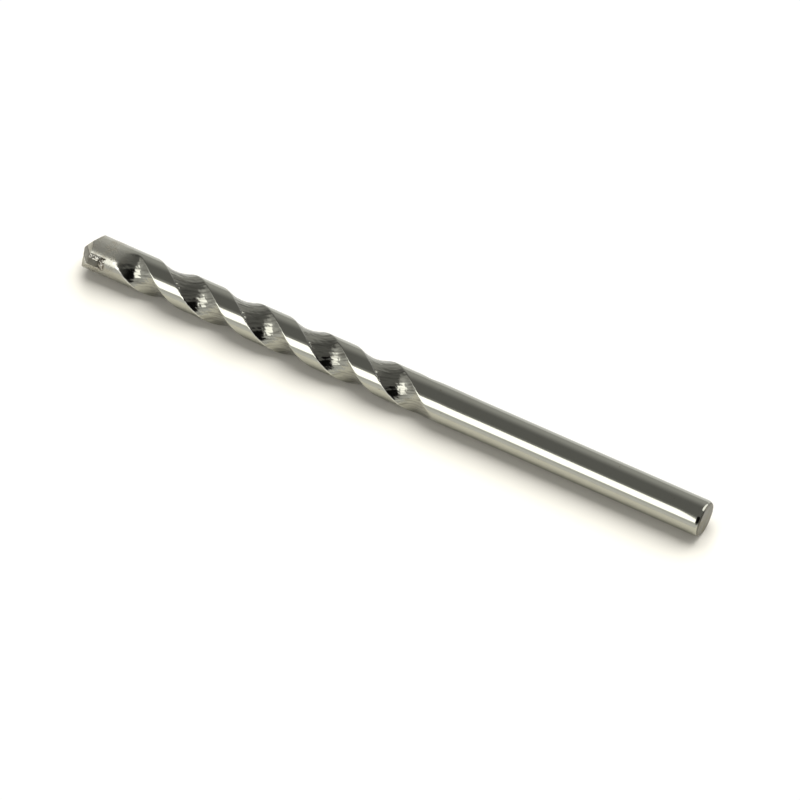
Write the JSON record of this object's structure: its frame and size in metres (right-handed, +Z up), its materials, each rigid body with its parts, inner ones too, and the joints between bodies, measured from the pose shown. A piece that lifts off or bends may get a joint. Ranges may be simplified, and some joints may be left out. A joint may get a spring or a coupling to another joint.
{
  "type": "masonry drill bit",
  "caption": "Round-shank masonry drill bit: steel bar with helical flutes and a brazed carbide insert ground to a point.",
  "frame": {"origin": "centre of the shank's flat end face", "axes": "+X along the bit's axis to its point, +Z up with the bit lying on its side"},
  "size_m": [0.1, 0.0058, 0.0054],
  "materials": {
    "bar_steel": "ground and polished",
    "tungsten_carbide": "ground matt",
    "braze_alloy": "as flowed"
  },
  "bodies": {
    "root": {"drill_body": "bar_steel", "carbide_tip": "tungsten_carbide", "braze_seam": "braze_alloy"}
  },
  "joints": []
}
